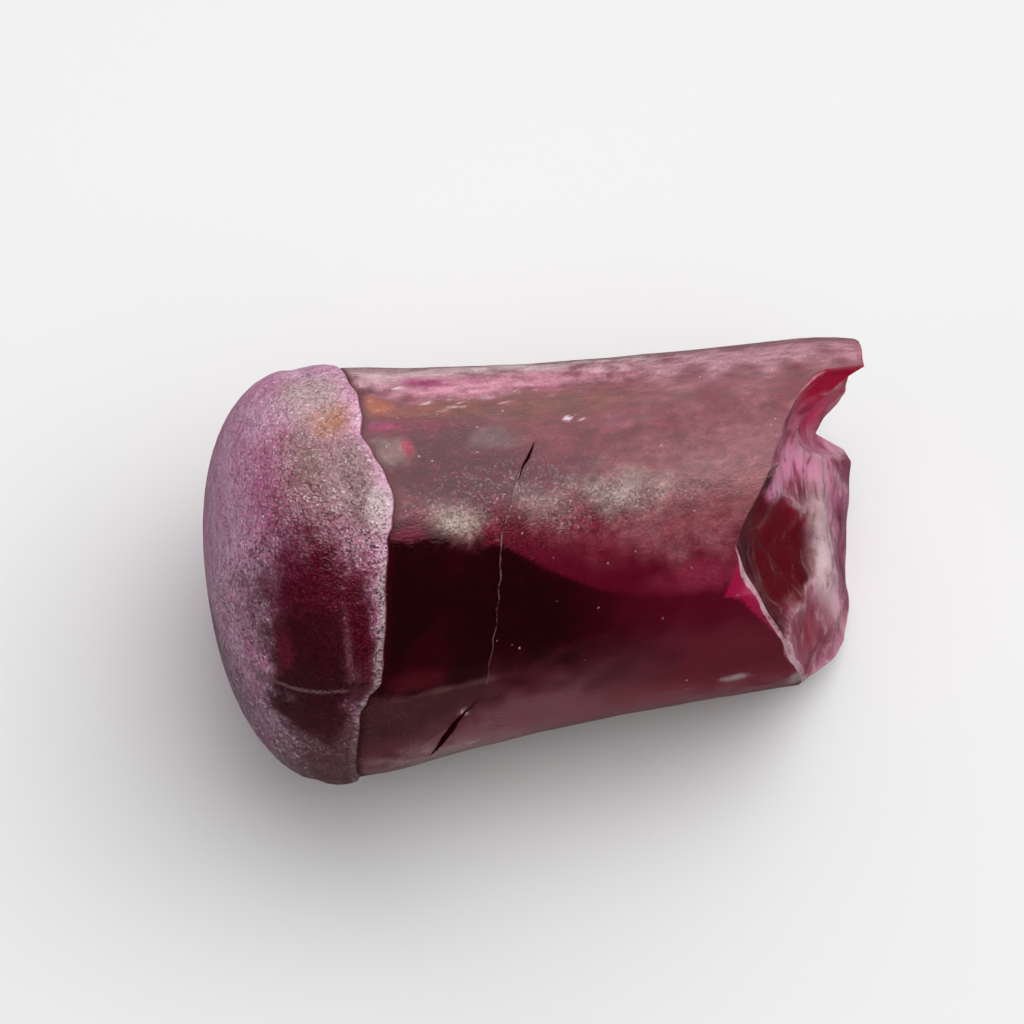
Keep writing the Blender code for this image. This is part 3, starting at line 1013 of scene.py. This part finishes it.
def rubyMaterial():
    print("ruby: building the material")
    look = rubyLook
    material = bpy.data.materials.new("ruby")
    material.use_nodes = True
    material.node_tree.nodes.clear()
    ruby = Wire(material.node_tree)
    zone = painted(ruby, "zone")
    onCrown = shown(zone, "crown")
    onBreak = shown(zone, "break")
    onBody = (1.0 - onCrown) * (1.0 - onBreak)
    place = painted(ruby, "place", 1)
    speckle = ruby.add("ShaderNodeTexNoise", {}, {
        "Vector": place, "Scale": look["fineScale"], "Detail": 0.0,
    })
    clumps = ruby.add("ShaderNodeTexNoise", {}, {
        "Vector": place, "Scale": look["coarseScale"], "Detail": 2.0, "Roughness": 0.65,
    })
    grit = centred(speckle)
    coarse = centred(clumps)
    random = grainCells(place, speckle)

    colour = painted(ruby, "skin", 0)
    hiding = painted(ruby, "skin", 3)
    colour, hiding = addGrain(colour, hiding, painted(ruby, "grainy"), random, coarse, onCrown, onBody)
    colour, hiding = addHairline(colour, hiding, painted(ruby, "crackOff"), coarse, onBody)
    # a few white flecks in the body
    flecks = shown(random.other("Blue") + coarse * 0.0006, "flecks") * onBody
    colour = mixColour(flecks, colour, look["chalk"])
    hiding = blend(flecks, hiding, look["flecksHide"])
    # white of the break
    white = breakWhite(ruby, grit, coarse, onBreak)
    colour = mixColour(white, colour, mixColour(shown(coarse, "chalky"), look["blush"], look["chalk"]))
    hiding = blend(white, hiding, look["whiteHides"])
    # painted shade on the walls of the cuts in the side
    wallShade = shown(painted(ruby, "wall"), "wallShade")
    colour = mixColour(wallShade, colour, look["shadeColour"])
    hiding = blend(wallShade, hiding, look["wallsHide"])

    rough = blend(onBody * shown(hiding, "glossy"), look["bodyRoughness"], look["windowRoughness"])
    rough = blend(onCrown, rough, look["crownRoughness"])
    rough = blend(onBreak, rough, look["breakRoughness"]) + white * 0.3 + grit * 0.015
    height = onCrown * (grit * 0.008 + coarse * 0.03) + onBody * grit * 0.002
    height = height + onBreak * (coarse * 0.01 + grit * 0.002)
    relief = ruby.add("ShaderNodeBump", {}, {"Height": height, "Distance": mm, "Strength": 1.0})
    clear = ruby.add("ShaderNodeBsdfPrincipled", {}, {
        "Base Color": (1.0, 1.0, 1.0, 1.0), "Roughness": rough, "IOR": look["ior"],
        "Transmission Weight": 1.0, "Normal": relief,
    })
    satin = ruby.add("ShaderNodeBsdfPrincipled", {}, {
        "Base Color": colour, "Roughness": rough, "IOR": look["ior"], "Normal": relief,
    })
    surface = ruby.add("ShaderNodeMixShader", {}, {0: hiding, 1: clear, 2: satin})
    depth = ruby.add("ShaderNodeVolumeAbsorption", {}, {
        "Color": look["absorption"], "Density": look["density"],
    })
    ruby.add("ShaderNodeOutputMaterial", {}, {"Surface": surface, "Volume": depth})
    return material


stageLook = {
    "floorSize": 4.0,
    "floorColour": (0.8, 0.8, 0.8, 1.0),
    "floorRoughness": 0.9,
    "skyWay": (0.40, 0.79, 0.46),  # where the tall window stands
    "skyEdge": (0.50, 0.70),
    "skyGlow": 1.0,
    "skyShade": 0.02,
    "tableGlow": 0.04,  # the table as the crystal mirrors it, brighter on the window's side
    "farEdge": (0.5, 0.8),
    "farGlow": 0.5,
    "horizon": (0.02, -0.06),
    "wall": 0.85,
    # lights that only the satin skin and the table see: place, width and power
    "lights": {
        "softbox": ((0.45, 0.15, 0.75), 1.1, 3.2),
        "fill": ((-0.75, -0.15, 0.45), 0.8, 0.8),
        "ceiling": ((0.35, -0.15, 1.2), 2.2, 14.0),
    },
    "cameraAzimuth": -9.6,
    "cameraElevation": 70.0,
    "cameraDistance": 0.23,
    "mmPerPixel": 0.0482,
    "picture": 1024,  # width and height in pixels
    "aimAlong": 17.1,  # this far along the boule's axis, its middle stands at the next two
    "aimAcross": 560.0,
    "aimDown": 543.5,
}


def makeFloor():
    print("stage: laying the floor")
    mesh = bpy.data.meshes.new("floor")
    half = stageLook["floorSize"] / 2
    corners = [(-half, -half, 0), (half, -half, 0), (half, half, 0), (-half, half, 0)]
    mesh.from_pydata(corners, [], [(0, 1, 2, 3)])
    floor = bpy.data.objects.new("floor", mesh)
    bpy.context.scene.collection.objects.link(floor)
    material = bpy.data.materials.new("paper")
    material.use_nodes = True
    shader = material.node_tree.nodes["Principled BSDF"]
    shader.inputs["Base Color"].default_value = stageLook["floorColour"]
    shader.inputs["Roughness"].default_value = stageLook["floorRoughness"]
    mesh.materials.append(material)
    floor.visible_glossy = False


def makeWorld():
    print("stage: lighting the studio")
    world = bpy.data.worlds.new("studio")
    bpy.context.scene.world = world
    world.use_nodes = True
    tree = world.node_tree
    tree.nodes.clear()
    sky = Wire(tree)
    way = sky.add("ShaderNodeTexCoord")
    lean = sky.vector("DOT_PRODUCT", {0: way, 1: stageLook["skyWay"]}, 1)
    up = sky.add("ShaderNodeSeparateXYZ", {}, {0: way}, 2)
    glow = smoothStep(lean, *stageLook["skyEdge"]) * stageLook["skyGlow"] + stageLook["skyShade"]
    table = smoothStep(lean, *stageLook["farEdge"]) * stageLook["farGlow"] + stageLook["tableGlow"]
    glow = blend(smoothStep(up, *stageLook["horizon"]), glow, table)
    seen = sky.add("ShaderNodeLightPath", {}, {}, 0)  # the wall behind the table is plain and pale
    glow = blend(seen, glow, stageLook["wall"])
    back = sky.add("ShaderNodeBackground", {}, {"Color": (1, 1, 1, 1), "Strength": glow})
    sky.add("ShaderNodeOutputWorld", {}, {"Surface": back})


def makeLight(name, place, size, power):
    data = bpy.data.lights.new(name, "AREA")
    data.shape = "DISK"
    data.size = size
    data.energy = power
    light = bpy.data.objects.new(name, data)
    bpy.context.scene.collection.objects.link(light)
    place = Vector(place)
    light.location = place
    light.rotation_euler = place.to_track_quat("Z", "Y").to_euler()
    light.visible_glossy = False  # its round shape isn't mirrored in the crystal
    light.visible_transmission = False


def makeCamera():
    print("stage: aiming the camera")
    azimuth = math.radians(stageLook["cameraAzimuth"])
    elevation = math.radians(stageLook["cameraElevation"])
    pixel = stageLook["mmPerPixel"] * mm
    distance = stageLook["cameraDistance"]
    right = Vector((math.cos(azimuth), math.sin(azimuth), 0.0))
    back = Vector((
        math.sin(azimuth) * math.cos(elevation),
        -math.cos(azimuth) * math.cos(elevation),
        math.sin(elevation),
    ))
    up = back.cross(right)
    tilt = math.radians(lying["tilt"])
    axis = Vector((math.cos(tilt), 0.0, -math.sin(tilt)))
    midway = (Vector(lying["apex"]) + stageLook["aimAlong"] * axis) * mm
    half = stageLook["picture"] / 2
    centre = midway + right * (half - stageLook["aimAcross"]) * pixel
    centre += up * (stageLook["aimDown"] - half) * pixel
    data = bpy.data.cameras.new("camera")
    data.lens = data.sensor_width * distance / (stageLook["picture"] * pixel)
    data.clip_start = 0.01
    data.clip_end = 20.0
    camera = bpy.data.objects.new("camera", data)
    bpy.context.scene.collection.objects.link(camera)
    pose = Matrix((right, up, back)).transposed().to_4x4()
    pose.translation = centre + back * distance
    camera.matrix_world = pose
    bpy.context.scene.camera = camera


boule = makeBoule()
boule.data.materials.append(rubyMaterial())
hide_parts("boule")
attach(boule, "root")
makeFloor()
makeWorld()
for name, light in stageLook["lights"].items():
    makeLight(name, *light)
makeCamera()
bpy.context.scene.view_settings.view_transform = "Standard"
print("boule: done")
